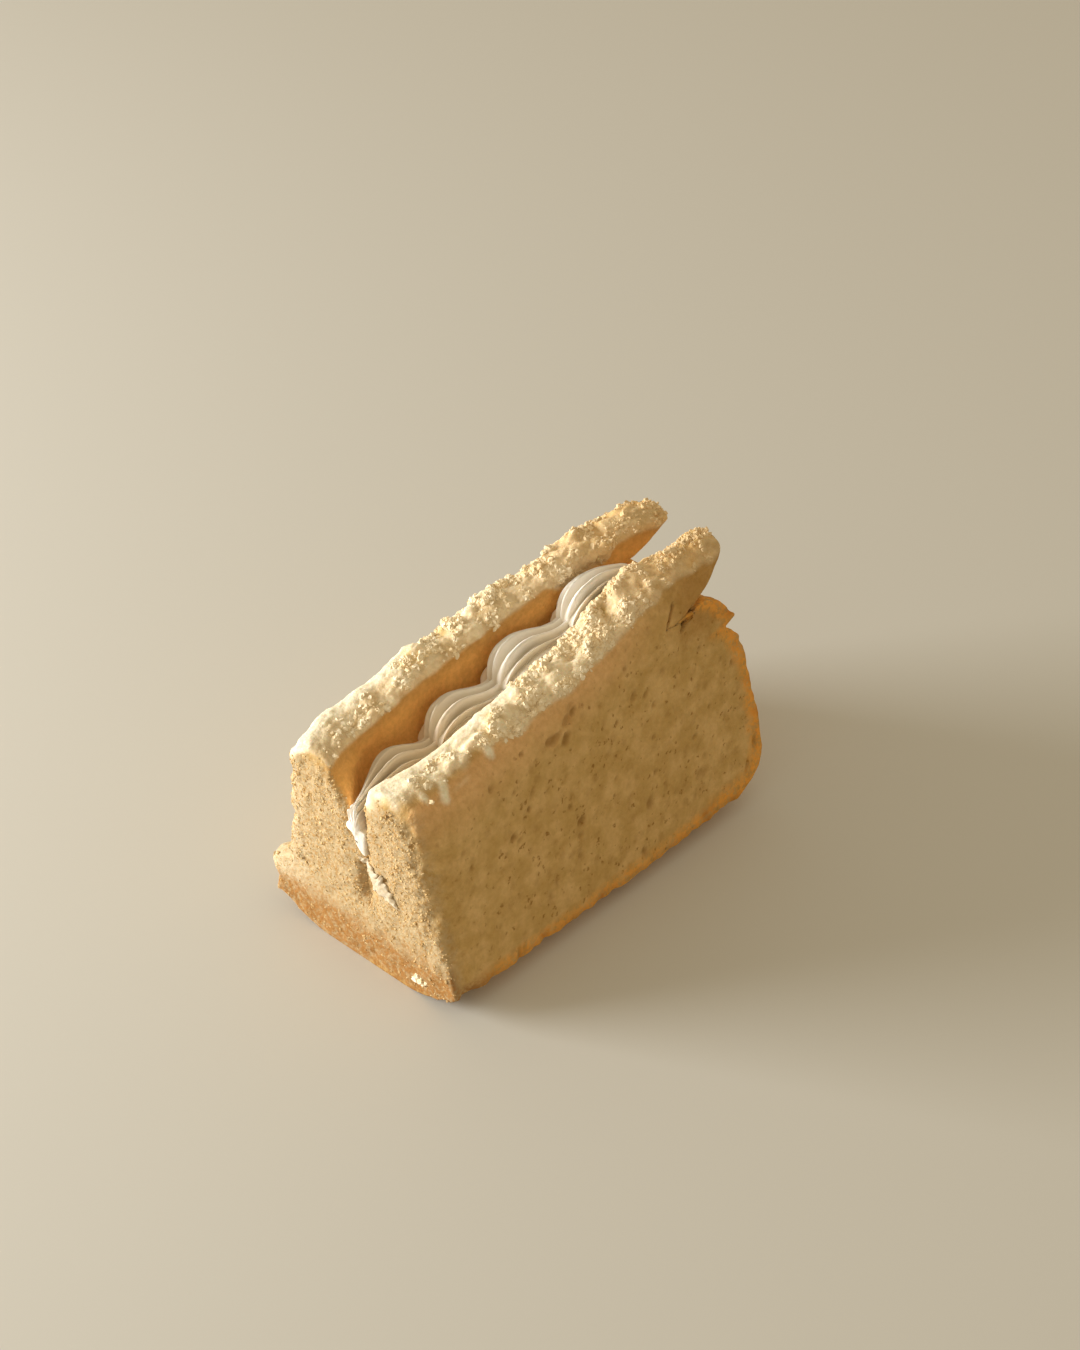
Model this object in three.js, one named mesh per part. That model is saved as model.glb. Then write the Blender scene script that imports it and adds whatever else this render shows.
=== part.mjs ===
import * as THREE from "three";
import { ImprovedNoise } from "three/addons/math/ImprovedNoise.js";
import { mergeVertices } from "three/addons/utils/BufferGeometryUtils.js";

// A slice of tube-pan chiffon cake lying on its browned outer wall, slit along the top and filled
// with a piped row of whipped cream. Millimetres. +X runs from the pale pan-bottom end to the baked
// end, the near cut face looks to -Y and +Z is up. Stations in the lists start at the pale end.

// Place of the origin, under the middle of the whole slice
const originX = 51.7;
const originY = -1.35;

// Foot of the sponge, the convex outer wall it lies on
const nearFoot = 27.5;
const nearFlare = 0.065;
const farFoot = 28;
const farFlare = 0.03;
const edgeHeight = 5.6;
const edgeSag = 1.4;
const flatShare = 0.42;

// Cut faces and torn top
const meanLength = 100;
const cutLean = 13;
const topRounding = 12;
const topHeight = [[0, 53.2], [15, 54], [30, 57], [48, 59.2], [62, 62], [76, 65.8], [88, 68.4], [106, 68.8]];
const nearInner = [
  [0, -2.2], [10, -2.6], [20, -4.4], [36, -5.4], [56, -6.3], [76, -7.8], [90, -8.8], [106, -9.6],
];
const farInner = [
  [0, 9.6], [8, 11.4], [15, 12], [24, 11.3], [40, 10.6], [54, 9.2], [64, 7.4], [74, 5.4], [84, 3], [94, 0],
  [106, -2.8],
];
const farOuter = [
  [0, 21], [12, 23.2], [22, 21.8], [36, 20.9], [47, 19.4], [58, 18], [68, 15.2], [78, 13.6], [88, 12.4],
  [106, 8.6],
];
const crownDrop = 1.2;
const cornerRound = 5.5;
const earReach = 4;
const earHeight = 18.5;
const earLength = 10;

// Slit that runs the whole length, narrowing from the mouth to a crack
const slitFloor = 22.5;
const slitRise = 0.03;
const slitMiddle = -1.8;
const slitDrift = -0.032;
const crackHalf = 0.4;
const mouthPinch = 0.5;
const slitShape = [
  [0, 1], [0.2, 0.95], [0.36, 0.86], [0.46, 0.66], [0.54, 0.4], [0.61, 0.16], [0.68, 0], [1, 0],
];

// Baked end, listed as height share, reach along X and lift: rounded rim, notch under the crust flake,
// flake tip, saddle and the two horns that climbed the tube
const bakedEnd = [
  [0, 93, 0], [0.02, 97, 0], [0.05, 100, 0], [0.09, 102.2, 0], [0.148, 103.5, 0], [0.25, 103.3, 0],
  [0.44, 102.7, 0], [0.56, 102, 0], [0.63, 101.2, 0], [0.67, 99.2, 0], [0.7, 97, 0],
  [0.722, 101.4, -0.3], [0.745, 99.9, -0.1], [0.79, 96.9, 1], [0.825, 92.9, 1.2], [0.85, 88.2, -0.4],
  [0.866, 84.8, -3], [0.885, 90, -1.4], [0.91, 94.2, -1.4], [0.94, 98.3, -1.5], [0.97, 102.6, -1],
  [1, 105.6, 0],
];
const endStart = 0.72;

// Relief of the torn crumb and of the faces
const tornDepth = 1.5;
const tornGrain = 4.6;
const faceDepth = 0.5;
const faceGrain = 7;

// Piped cream: where each shell begins, how far its crest lies under the torn top, and along each shell
// its size at the crease, the share in which it swells and where it starts to shrink to its tail
const shellStarts = [-2.2, 26, 46.2, 67.2, 90];
const crestDrop = [[12, 2], [35.5, 2.4], [56, 0.4], [78, -0.8]];
const shellRise = 9;
const shellSwell = { heel: 0.34, swell: 0.24, fall: 0.3 };
const frontSwell = { heel: 0.55, swell: 0.5, fall: 0.58 };
const tailShrink = 0.66;
const ridgeCount = 6;
const ridgeDepth = 0.2;
const creamGap = 0.45;
const creamFoot = 0.37;
const noseLength = 2.2;
const tailLength = 5;

// Mesh steps: across the foot, up its low wall and up each slab, through the wall, along the length
const footSteps = 6;
const lowSteps = 3;
const slabSteps = 17;
const wallSteps = 6;
const lengthSteps = 38;
const ridgeSteps = 6;
const fillingSteps = 10;
const shellSteps = 10;

const grain = new ImprovedNoise();
const shellCount = shellStarts.length - 1;
const sideSteps = footSteps + lowSteps + slabSteps;
const footShare = footSteps / sideSteps;
const lowShare = (footSteps + lowSteps) / sideSteps;

function clamp(value) {
  return Math.min(1, Math.max(0, value));
}

function mix(from, to, share) {
  return from + (to - from) * share;
}

function ease(from, to, value) {
  const share = clamp((value - from) / (to - from));
  return share * share * (3 - 2 * share);
}

// Smooth curve through [station, value] pairs, level slopes taken from the neighbours
function curve(points) {
  const last = points.length - 1;
  const slopes = points.map((_, i) => {
    const before = points[Math.max(i - 1, 0)];
    const after = points[Math.min(i + 1, last)];
    return (after[1] - before[1]) / (after[0] - before[0]);
  });
  return (station) => {
    const at = Math.min(points[last][0], Math.max(points[0][0], station));
    const found = points.findIndex((point) => point[0] > at);
    const i = (found < 0 ? last : found) - 1;
    const span = points[i + 1][0] - points[i][0];
    const u = (at - points[i][0]) / span;
    const rise = u * u * (3 - 2 * u);
    const enter = u * (1 - u) * (1 - u) * span * slopes[i];
    const leave = u * u * (u - 1) * span * slopes[i + 1];
    return mix(points[i][1], points[i + 1][1], rise) + enter + leave;
  };
}

// Straight lines through rows of [share, ...], giving one column
function rows(table, column) {
  return (share) => {
    const found = table.findIndex((row) => row[0] > share);
    const i = (found < 0 ? table.length - 1 : found) - 1;
    const u = clamp((share - table[i][0]) / (table[i + 1][0] - table[i][0]));
    return mix(table[i][column], table[i + 1][column], u);
  };
}

const topAt = curve(topHeight);
const nearInnerAt = curve(nearInner);
const farInnerAt = curve(farInner);
const farOuterAt = curve(farOuter);
const slitShapeAt = curve(slitShape);
const crestDropAt = curve(crestDrop);
const endReach = rows(bakedEnd, 1);
const endLift = rows(bakedEnd, 2);
const leanSlope = Math.tan(THREE.MathUtils.degToRad(cutLean));

function footY(x, near) {
  return near ? -nearFoot - nearFlare * x : farFoot + farFlare * x;
}

function edgeAt(x) {
  return edgeHeight - edgeSag * Math.sin(Math.PI * clamp(x / 104));
}

// Underside: flat in the middle, curving up to the cut edges
function undersideAt(x, share) {
  return edgeAt(x) * Math.pow(clamp((share - flatShare) / (1 - flatShare)), 1.8);
}

function nearFace(x, z) {
  const rounding = Math.max(0, z - topAt(x) + topRounding);
  return footY(x, true) + leanSlope * (z - edgeAt(x)) + 0.02 * rounding * rounding;
}

// Far cut face, with a torn ear low on the pale end
function farFace(x, z) {
  const share = clamp((z - edgeAt(x)) / (topAt(x) - edgeAt(x)));
  const hollow = 2.6 - 1.2 * ease(0, 40, x);
  const ear = ease(earHeight + 2.5, earHeight, z) * ease(4, 12, z) * ease(earLength, 2, x);
  return mix(farOuterAt(x), footY(x, false), Math.pow(1 - share, hollow)) + earReach * ear;
}

function slitFloorAt(x) {
  return slitFloor + slitRise * x;
}

function slitMiddleAt(x) {
  return slitMiddle + slitDrift * x;
}

// Wall of the slit at one height, pinched at the pale end on the far side
function slitWall(x, z, near) {
  const depth = clamp((topAt(x) - z) / (topAt(x) - slitFloorAt(x)));
  const width = clamp(slitShapeAt(depth));
  const pinch = mouthPinch * ease(14, 0, x) * ease(0.05, 0.27, depth) * ease(0.66, 0.45, depth);
  const crack = slitMiddleAt(x) + (near ? -crackHalf : crackHalf);
  return mix(crack, near ? nearInnerAt(x) : farInnerAt(x), near ? width : width * (1 - pinch));
}

// Cross-section of the sponge: along runs from the far top (-1) round the foot to the near top (1),
// through from the slit (0) to the outside (1)
function section(along, through, x, lift) {
  const near = along > 0;
  const share = Math.abs(along);
  const low = share < lowShare;
  const edge = edgeAt(x);
  const top = topAt(x);
  const floor = slitFloorAt(x);
  const climb = clamp((share - lowShare) / (1 - lowShare));
  const height = climb * (1.35 - 0.35 * climb);
  const crown = crownDrop * Math.pow(Math.abs(2 * through - 1), 3) * ease(0.8, 1, height);
  const lowTop = floor - 3;
  const lowRise = clamp((share - footShare) / (lowShare - footShare));
  const turn = clamp(share / lowShare) * Math.PI / 2;
  let outerZ = low ? mix(edge, lowTop, lowRise) : mix(lowTop, top, height) - crown;
  let innerZ = low ? floor - crackHalf * Math.cos(turn) : mix(floor, top, height) - crown;
  if (share < footShare) {
    outerZ = undersideAt(x, share / footShare);
  }
  const base = Math.min(edge, outerZ) * through * through;
  const level = clamp((mix(innerZ, outerZ, through) - base) / (top - base));
  if (!low) {
    outerZ += lift * endLift(level);
    innerZ += lift * endLift(level);
  }
  let outerY = near ? nearFace(x, outerZ) : farFace(x, outerZ);
  let innerY = slitWall(x, innerZ, near);
  if (low) {
    innerY = slitMiddleAt(x) + (near ? -1 : 1) * crackHalf * Math.sin(turn);
  }
  if (share < footShare) {
    outerY = footY(x, near) * share / footShare;
  }
  return { y: mix(innerY, outerY, through), z: mix(innerZ, outerZ, through), height, level, outerY };
}

// Turns the square corner between two faces into a quarter round; a and b are the distances from them
function cornered(a, b, radius) {
  const least = Math.min(a, b);
  const most = Math.max(a, b);
  if (most >= radius) {
    return [a, b];
  }
  const turn = Math.PI / 4 * (1 - (most - least) / (radius - least));
  const short = least + (radius - least) * (1 - Math.cos(turn));
  const long = least + (radius - least) * (1 - Math.sin(turn));
  return a < b ? [short, long] : [long, short];
}

// One point of the sponge; reach along X follows the baked end's profile, relief comes last
function spongePoint(along, through, length) {
  const end = Math.pow(clamp((length - endStart) / (1 - endStart)), 1.5);
  let x = length * meanLength;
  let cut = section(along, through, x, end);
  for (let pass = 0; pass < 4; pass += 1) {
    x = length * meanLength + end * (endReach(cut.level) - meanLength);
    cut = section(along, through, x, end);
  }
  if (along > lowShare) {
    const inset = cut.y - cut.outerY;
    const [shortX, shortY] = cornered(x, inset, cornerRound * ease(8, 26, cut.z));
    x = shortX;
    cut.y = cut.outerY + shortY;
  }
  x += 1.8 * ease(0.05, 0, length) * ease(0.9, 1, cut.level);
  const torn = Math.abs(along) > lowShare ? ease(0.82, 1, cut.height) : 0;
  const crumb = grain.noise(x / tornGrain, cut.y / tornGrain, 3.5)
    + 0.6 * grain.noise(x / tornGrain * 2.1, cut.y / tornGrain * 2.1, 8.5);
  const rough = grain.noise(x / faceGrain, cut.y / faceGrain, cut.z / faceGrain);
  const face = ease(3, 9, cut.z) * through;
  const paleEnd = ease(0.03, 0, length) * ease(0, 6, cut.z);
  return new THREE.Vector3(
    x + faceDepth * rough * paleEnd * 1.6 - originX,
    cut.y + faceDepth * rough * face * 0.8 - originY,
    cut.z + tornDepth * crumb * torn,
  );
}

function rounded(share) {
  return Math.sqrt(clamp(1 - (1 - clamp(share)) ** 2));
}

// One point of the cream: ridged shells above the shoulder, below it the filling follows the slit.
// Shells have a blunt head and a long tail that the next head covers; the first swells more slowly.
function creamPoint(turn, shells) {
  const shell = Math.min(shellCount - 1, Math.floor(shells));
  const run = 0.5 - 0.5 * Math.cos(Math.PI * (shells - shell));
  const x = mix(shellStarts[shell], shellStarts[shell + 1], run);
  const form = shell === 0 ? frontSwell : shellSwell;
  const bulge = mix(form.heel, 1, rounded(run / form.swell)) * (1 - tailShrink * ease(form.fall, 1, run));
  const first = shellStarts[0];
  const last = shellStarts[shellCount];
  const inside = Math.max(0, x);
  const close = rounded((x - first) / noseLength) * rounded((last - x) / tailLength);
  const shoulder = topAt(inside) - crestDropAt(x) - shellRise;
  const nearSide = slitWall(inside, shoulder, true) + creamGap;
  const farSide = slitWall(inside, shoulder, false) - creamGap;
  const middle = mix(nearSide, farSide, 0.42);
  const sine = Math.abs(Math.sin(turn));
  const cosine = Math.cos(turn);
  const side = (cosine > 0 ? 0.4 + 0.6 * bulge : 0.8 + 0.2 * bulge) * close;
  const foot = slitFloorAt(inside) + creamFoot * (topAt(inside) - slitFloorAt(inside));
  let y;
  let z;
  if (turn < Math.PI) {
    const groove = Math.abs(Math.sin(ridgeCount * turn));
    const ridge = 1 - ridgeDepth * groove * clamp(3 * sine);
    const reach = Math.sign(cosine) * Math.pow(Math.abs(cosine), 0.7);
    const rise = shellRise * (0.05 + 0.95 * bulge) * (0.55 + 0.45 * close);
    y = middle + (cosine > 0 ? farSide - middle : middle - nearSide) * reach * ridge * side;
    z = shoulder + rise * Math.pow(sine, 0.85) * ridge;
  } else {
    z = mix(shoulder, foot, sine);
    const nearLow = slitWall(inside, z, true) + creamGap;
    const farLow = slitWall(inside, z, false) - creamGap;
    const core = mix(nearLow, farLow, 0.42);
    const half = Math.max(0.12, cosine > 0 ? farLow - core : core - nearLow);
    y = core + Math.sign(cosine) * half * side * clamp(5 * Math.abs(cosine));
  }
  const slant = 0.22 * (y - middle) * clamp((z - shoulder) / 4) * ease(2, 10, x) * ease(90, 82, x);
  const spread = Math.pow(close, 0.35);
  const tipZ = mix(foot, shoulder, 0.6);
  return new THREE.Vector3(x + slant - originX, mix(middle, y, spread) - originY, mix(tipZ, z, spread));
}

// Moves every vertex of a plain shape to its place on the surface and joins the seams
function shaped(geometry, place) {
  const position = geometry.getAttribute("position");
  for (let i = 0; i < position.count; i += 1) {
    const point = place(i, position);
    position.setXYZ(i, point.x, point.y, point.z);
  }
  geometry.deleteAttribute("normal");
  geometry.deleteAttribute("uv");
  const joined = mergeVertices(geometry, 1e-3);
  joined.computeVertexNormals();
  return joined;
}

// Splits each four-sided patch of a box along its shorter diagonal
function splitShort(geometry) {
  const index = geometry.getIndex();
  const corners = Array.from({ length: geometry.getAttribute("position").count }, (_, i) => (
    new THREE.Vector3().fromBufferAttribute(geometry.getAttribute("position"), i)
  ));
  for (let i = 0; i < index.count; i += 6) {
    const [a, b, d, c] = [0, 1, 2, 4].map((step) => index.getX(i + step));
    if (corners[a].distanceTo(corners[c]) < corners[b].distanceTo(corners[d])) {
      [a, b, c, a, c, d].forEach((corner, step) => index.setX(i + step, corner));
    }
  }
  return geometry;
}

// Steps through the wall crowd towards the outside low down, where the rim of the baked end turns
const spongeBox = new THREE.BoxGeometry(1, 1, 1, 2 * sideSteps, wallSteps, lengthSteps);
const spongeShape = shaped(spongeBox, (i, position) => {
  const along = 2 * position.getX(i);
  const across = position.getY(i) + 0.5;
  const run = position.getZ(i) + 0.5;
  const through = mix(1 - Math.pow(1 - across, 1.7), across, Math.abs(along));
  return spongePoint(along, through, run * (1.25 - 0.25 * run));
});

const creamAround = ridgeCount * ridgeSteps + fillingSteps;
const ridgedShare = ridgeCount * ridgeSteps / creamAround;
const creamBall = new THREE.SphereGeometry(1, creamAround, shellCount * shellSteps);
const ballUv = creamBall.getAttribute("uv");
const creamShape = shaped(creamBall, (i) => {
  const around = ballUv.getX(i) - Math.floor(ballUv.getX(i));
  const ridged = Math.PI * around / ridgedShare;
  const filling = Math.PI * (1 + (around - ridgedShare) / (1 - ridgedShare));
  return creamPoint(around < ridgedShare ? ridged : filling, shellCount * ballUv.getY(i));
});

const spongeLook = new THREE.MeshStandardMaterial({ color: 0xe3bd80, roughness: 0.95, metalness: 0 });
const creamLook = new THREE.MeshStandardMaterial({ color: 0xf3e6cd, roughness: 0.55, metalness: 0 });

const cake = new THREE.Mesh(splitShort(spongeShape), spongeLook);
cake.name = "cake";
const cream = new THREE.Mesh(creamShape, creamLook);
cream.name = "cream";

const slice = new THREE.Group();
slice.add(cake, cream);

export default slice;
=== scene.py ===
import math
from types import SimpleNamespace
import bpy
import numpy as np
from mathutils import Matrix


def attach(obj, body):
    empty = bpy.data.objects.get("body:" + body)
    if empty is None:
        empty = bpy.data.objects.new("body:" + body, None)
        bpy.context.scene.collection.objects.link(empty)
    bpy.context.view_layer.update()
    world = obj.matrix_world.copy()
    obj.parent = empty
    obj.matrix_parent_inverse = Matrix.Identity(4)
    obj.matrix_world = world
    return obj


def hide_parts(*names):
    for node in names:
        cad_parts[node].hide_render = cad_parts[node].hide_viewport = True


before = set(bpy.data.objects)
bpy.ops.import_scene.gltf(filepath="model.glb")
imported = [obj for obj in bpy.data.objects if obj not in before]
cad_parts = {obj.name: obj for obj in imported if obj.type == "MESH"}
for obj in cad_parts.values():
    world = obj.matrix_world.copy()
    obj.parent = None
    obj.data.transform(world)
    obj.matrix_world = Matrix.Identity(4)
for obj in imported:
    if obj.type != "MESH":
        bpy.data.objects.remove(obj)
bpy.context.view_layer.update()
mm = 0.001
origin = np.array((51.7, -1.35, 0))  # mm from the pale end to the frame's origin

# camera and studio

cameraSet = {
    "eye": (-331.7, -292.75, 430.8),  # mm, in the slice's own frame
    "heading": 49.1,  # degrees from +Y towards +X
    "pitch": 40.57,  # degrees below level
    "focalPixels": 2600.0,
    "longSide": 1350.0,
    "sensor": 36.0,
    "clipStart": 0.01,
}

studio = {
    "keyFrom": (-0.63, 0.75, 0.17),
    "keyDistance": 0.9,  # m, from its aim
    "keyAim": (0, 0, 0.03),
    "keySize": 0.42,
    "keyWatts": 14.6,
    "keyColour": (1.0, 0.96, 0.87),
    "sky": (1.0, 0.82, 0.54),
    "skyStrength": 0.54,
    "floorColour": (0.66, 0.67, 0.67),
    "floorRoughness": 0.6,
    "floorHalf": 3.0,
}


def place(name, data):
    made = bpy.data.objects.new(name, data)
    bpy.context.scene.collection.objects.link(made)
    return made


def makeCamera(c):
    data = bpy.data.cameras.new("camera")
    data.sensor_width = c["sensor"]
    data.lens = c["focalPixels"] * c["sensor"] / c["longSide"]
    data.clip_start = c["clipStart"]
    camera = place("camera", data)
    camera.location = [v * mm for v in c["eye"]]
    camera.rotation_euler = (math.radians(90 - c["pitch"]), 0, math.radians(-c["heading"]))
    bpy.context.scene.camera = camera


def makeStudio(s):
    toKey = np.array(s["keyFrom"]) / np.linalg.norm(s["keyFrom"])
    lamp = bpy.data.lights.new("key", "AREA")
    lamp.energy = s["keyWatts"]
    lamp.size = s["keySize"]
    lamp.color = s["keyColour"]
    key = place("key", lamp)
    key.location = toKey * s["keyDistance"] + np.array(s["keyAim"])
    key.rotation_euler = (math.acos(toKey[2]), 0, math.atan2(toKey[0], -toKey[1]))
    world = bpy.data.worlds.new("studio")
    world.use_nodes = True
    back = world.node_tree.nodes["Background"]
    back.inputs["Color"].default_value = (*s["sky"], 1)
    back.inputs["Strength"].default_value = s["skyStrength"]
    bpy.context.scene.world = world
    h = s["floorHalf"]
    mesh = bpy.data.meshes.new("floor")
    mesh.from_pydata([(-h, -h, 0), (h, -h, 0), (h, h, 0), (-h, h, 0)], [], [(0, 1, 2, 3)])
    pale = bpy.data.materials.new("pale floor")
    pale.use_nodes = True
    shader = pale.node_tree.nodes["Principled BSDF"]
    shader.inputs["Base Color"].default_value = (*s["floorColour"], 1)
    shader.inputs["Roughness"].default_value = s["floorRoughness"]
    mesh.materials.append(pale)
    floor = place("floor", mesh)


makeCamera(cameraSet)
makeStudio(studio)
bpy.context.scene.view_settings.view_transform = "Standard"
print("camera, light and floor are set")

# small helpers for shapes


def unit(value):
    return np.clip(value, 0, 1)


def ease(start, end, value):
    share = unit((value - start) / (end - start))
    return share * share * (3 - 2 * share)


def mix(start, end, share):
    return start + (end - start) * share


# smooth curve through (station, value) pairs; each slope comes from the two neighbours
def curveThrough(pairs):
    stations, values = np.array(pairs, float).T
    order = np.arange(len(pairs))
    before = np.maximum(order - 1, 0)
    after = np.minimum(order + 1, len(pairs) - 1)
    slopes = (values[after] - values[before]) / (stations[after] - stations[before])

    def valueAt(station):
        inside = np.clip(station, stations[0], stations[-1])
        i = np.clip(np.searchsorted(stations, inside, side="right") - 1, 0, len(pairs) - 2)
        span = stations[i + 1] - stations[i]
        u = (inside - stations[i]) / span
        bend = u * (1 - u) * span * ((1 - u) * slopes[i] - u * slopes[i + 1])
        return mix(values[i], values[i + 1], u * u * (3 - 2 * u)) + bend

    return valueAt


# a number from 0 to 1 for each cell, the same on every run
def cellDraw(cells, salt):
    part = cells.astype(np.int64).astype(np.uint32)
    h = part[..., 0] * np.uint32(73856093) ^ part[..., 1] * np.uint32(19349663)
    h = h ^ part[..., 2] * np.uint32(83492791) ^ np.uint32(salt * 7919 + 1013)
    for shift, factor in ((16, 0x7FEB352D), (15, 0x846CA68B)):
        h = (h ^ (h >> np.uint32(shift))) * np.uint32(factor)
    return (h ^ (h >> np.uint32(16))) / 4294967296.0


# soft noise: a random slope at each lattice corner, blended between corners
def waver(points, size, salt):
    q = points / size
    base = np.floor(q)
    f = q - base
    fade = f * f * f * (f * (6 * f - 15) + 10)
    total = np.zeros(len(points))
    for corner in np.ndindex(2, 2, 2):
        step = np.array(corner)
        slope = np.stack([cellDraw(base + step, salt + axis) for axis in range(3)], -1) * 2 - 1
        total += np.prod(np.where(step, fade, 1 - fade), -1) * np.sum(slope * (f - step), -1)
    return 1.3 * total


# one layer of relief from a (size, rise) pair
def wave(points, layer, salt):
    size, rise = layer
    return rise * waver(points, size, salt)


# a soft push in all three directions
def pushed(points, layer, salt):
    return np.stack([wave(points, layer, salt + 3 * axis) for axis in range(3)], -1)


# seeds strewn one to a cell: distance to the nearest in cells, and its own draw
def strewn(points, size, salt):
    q = points / size
    base = np.floor(q)
    nearest = np.full(len(points), 9.0)
    pick = np.zeros(len(points))
    for step in np.ndindex(3, 3, 3):
        cell = base + np.array(step) - 1
        seed = cell + np.stack([cellDraw(cell, salt + axis) for axis in range(3)], -1)
        gap = np.linalg.norm(q - seed, axis=-1)
        pick = np.where(gap < nearest, cellDraw(cell, salt + 3), pick)
        nearest = np.minimum(nearest, gap)
    return nearest, pick


# points in mm from the pale end become a mesh in the frame, in metres
def meshPiece(name, points, faces, smooth=True):
    placed = (points - origin) * mm
    mesh = bpy.data.meshes.new(name)
    mesh.from_pydata(placed.tolist(), [], faces)
    mesh.polygons.foreach_set("use_smooth", np.full(len(mesh.polygons), smooth))
    return place(name, mesh)


def addMask(piece, name, values):
    mask = piece.data.attributes.new(name, "FLOAT", "POINT")
    mask.data.foreach_set("value", unit(values).astype(np.float32))


# quads of a tube made of closed rings
def tubeQuads(rows, around):
    i, j = np.meshgrid(np.arange(rows - 1), np.arange(around), indexing="ij")
    n = (j + 1) % around
    quads = np.stack([i * around + j, (i + 1) * around + j, (i + 1) * around + n, i * around + n], -1)
    return quads.reshape(-1, 4)


# triangles that close a tube at its two tips
def tubeCaps(rows, around, first, tips):
    a = np.arange(around)
    b = (a + 1) % around
    last = first + (rows - 1) * around
    front = np.stack([0 * a + tips[0], first + a, first + b], -1)
    return np.concatenate([front, np.stack([last + a, 0 * a + tips[1], last + b], -1)])


# each vertex's normal: the sum of its faces' cross products, made one long
def vertexNormals(points, quads):
    a, b, c, d = (points[quads[:, k]] for k in range(4))
    across = np.cross(c - a, d - b)
    total = np.stack([
        np.bincount(quads.ravel(), np.repeat(across[:, axis], 4), len(points)) for axis in range(3)
    ], -1)
    return total / np.maximum(np.linalg.norm(total, axis=-1, keepdims=True), 1e-9)


# the sponge, in its solid's measures, mm; stations run from the pale end

plan = {
    "nearFoot": (27.5, 0.065),  # half width at the pale end, flare along the length
    "farFoot": (28.0, 0.03),
    "edgeHeight": 5.6,
    "edgeSag": (1.4, 104),  # depth in the middle, length
    "flatShare": 0.42,
    "footCurl": 1.8,
    "meanLength": 100.0,
    "cutLean": 13.0,
    "topRounding": (12.0, 0.02),  # start under the top, turn
    "farHollow": (2.6, 1.4),  # curve of the far face: pale end, past 40 mm
    "slabClimb": (1.35, 0.35),  # steps up a slab crowd towards the crown
    "topHeight": [(0, 53.2), (15, 54), (30, 57), (48, 59.2), (62, 62), (76, 65.8), (88, 68.4), (106, 68.8)],
    "nearInner": [
        (0, -2.2), (10, -2.6), (20, -4.4), (36, -5.4), (56, -6.3), (76, -7.8), (90, -8.8), (106, -9.6),
    ],
    "farInner": [
        (0, 9.6), (8, 11.4), (15, 12), (24, 11.3), (40, 10.6), (54, 9.2), (64, 7.4), (74, 5.4), (84, 3),
        (94, 0), (106, -2.8),
    ],
    "farOuter": [
        (0, 21), (12, 23.2), (22, 21.8), (36, 20.9), (47, 19.4), (58, 18), (68, 15.2), (78, 13.6), (88, 12.4),
        (106, 8.6),
    ],
    "crownDrop": 1.2,
    "cornerRound": 5.5,
    "ear": (4.0, 18.5, 10.0),  # reach, height, length
    "slitFloor": (22.5, 0.03),
    "slitMiddle": (-1.8, -0.032),
    "crackHalf": 0.4,
    "lowDrop": 3.0,  # outside, the slab starts lower than in the slit
    "mouthPinch": 0.5,
    "mouthShift": 1.3,  # the near slab leans over the cream at the pale end
    "slitShape": [
        (0, 1), (0.2, 0.95), (0.36, 0.86), (0.46, 0.66), (0.54, 0.4), (0.61, 0.16), (0.68, 0), (1, 0),
    ],
    # baked end: height share, reach, lift
    "bakedEnd": [
        (0, 93, 0), (0.02, 97, 0), (0.05, 100, 0), (0.09, 102.2, 0), (0.148, 103.5, 0), (0.25, 103.3, 0),
        (0.44, 102.7, 0), (0.56, 102, 0), (0.63, 101.2, 0), (0.67, 99.2, 0), (0.7, 97, 0),
        (0.722, 101.4, -0.3), (0.745, 99.9, -0.1), (0.79, 96.9, 1), (0.825, 92.9, 1.2), (0.85, 88.2, -0.4),
        (0.866, 84.8, -3), (0.885, 90, -1.4), (0.91, 94.2, -1.4), (0.94, 98.3, -1.5), (0.97, 102.6, -1),
        (1, 105.6, 0),
    ],
    "endStart": 0.72,
    "endCrowd": 1.5,
    "topTuck": 1.8,  # the pale end's top edge steps back
    "ripe": (54, 98),  # stations where the tear turns golden
    "footShare": 6 / 26,
    "lowShare": 9 / 26,
}

curveNames = ("topHeight", "nearInner", "farInner", "farOuter", "slitShape")
topAt, nearInnerAt, farInnerAt, farOuterAt, slitShapeAt = (curveThrough(plan[name]) for name in curveNames)
endShare, endReach, endLift = np.array(plan["bakedEnd"], float).T


def footY(x, near):
    nearHalf, nearFlare = plan["nearFoot"]
    farHalf, farFlare = plan["farFoot"]
    return np.where(near, -nearHalf - nearFlare * x, farHalf + farFlare * x)


def edgeAt(x):
    sag, long = plan["edgeSag"]
    return plan["edgeHeight"] - sag * np.sin(np.pi * unit(x / long))


def undersideAt(x, share):
    flat = plan["flatShare"]
    return edgeAt(x) * unit((share - flat) / (1 - flat)) ** plan["footCurl"]


def nearFace(x, z):
    start, turnIn = plan["topRounding"]
    lean = math.tan(math.radians(plan["cutLean"]))
    return footY(x, True) + lean * (z - edgeAt(x)) + turnIn * np.maximum(0, z - topAt(x) + start) ** 2


def farFace(x, z):
    reach, high, long = plan["ear"]
    share = unit((z - edgeAt(x)) / (topAt(x) - edgeAt(x)))
    hollow = mix(*plan["farHollow"], ease(0, 40, x))
    ear = ease(high + 2.5, high, z) * ease(4, 12, z) * ease(long, 2, x)
    return mix(farOuterAt(x), footY(x, False), (1 - share) ** hollow) + reach * ear


def slitFloorAt(x):
    return plan["slitFloor"][0] + plan["slitFloor"][1] * x


def slitMiddleAt(x):
    return plan["slitMiddle"][0] + plan["slitMiddle"][1] * x


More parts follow.
